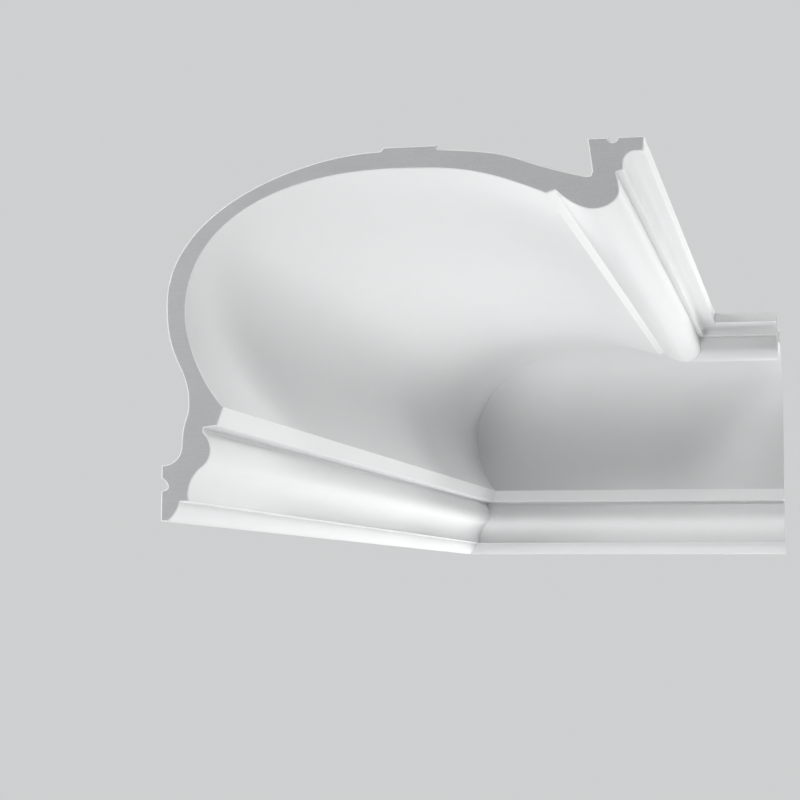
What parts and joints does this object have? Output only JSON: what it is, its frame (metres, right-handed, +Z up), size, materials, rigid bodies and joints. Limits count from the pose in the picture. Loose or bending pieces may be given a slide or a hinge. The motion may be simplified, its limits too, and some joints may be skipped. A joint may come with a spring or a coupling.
{
  "type": "cornice moulding section",
  "caption": "Mitred inside corner of a large cove cornice, with a deep cove, an ogee at the wall and a bead at the ceiling edge.",
  "frame": {"origin": "under the middle of the bounding box, on the plane of the moulding's lower edge", "axes": "+Z up to the ceiling, +Y along the side wall towards the wall behind, +X away from the side wall; the side wall is the plane x = -0.197, the back wall y = 0.590 and the ceiling z = 0.252"},
  "size_m": [0.394, 1.18, 0.252],
  "materials": {
    "white_moulding": "matt white primer on rigid foam, cut ends plain"
  },
  "bodies": {
    "root": {"side_wall_length": "white_moulding", "back_wall_length": "white_moulding"}
  },
  "joints": []
}
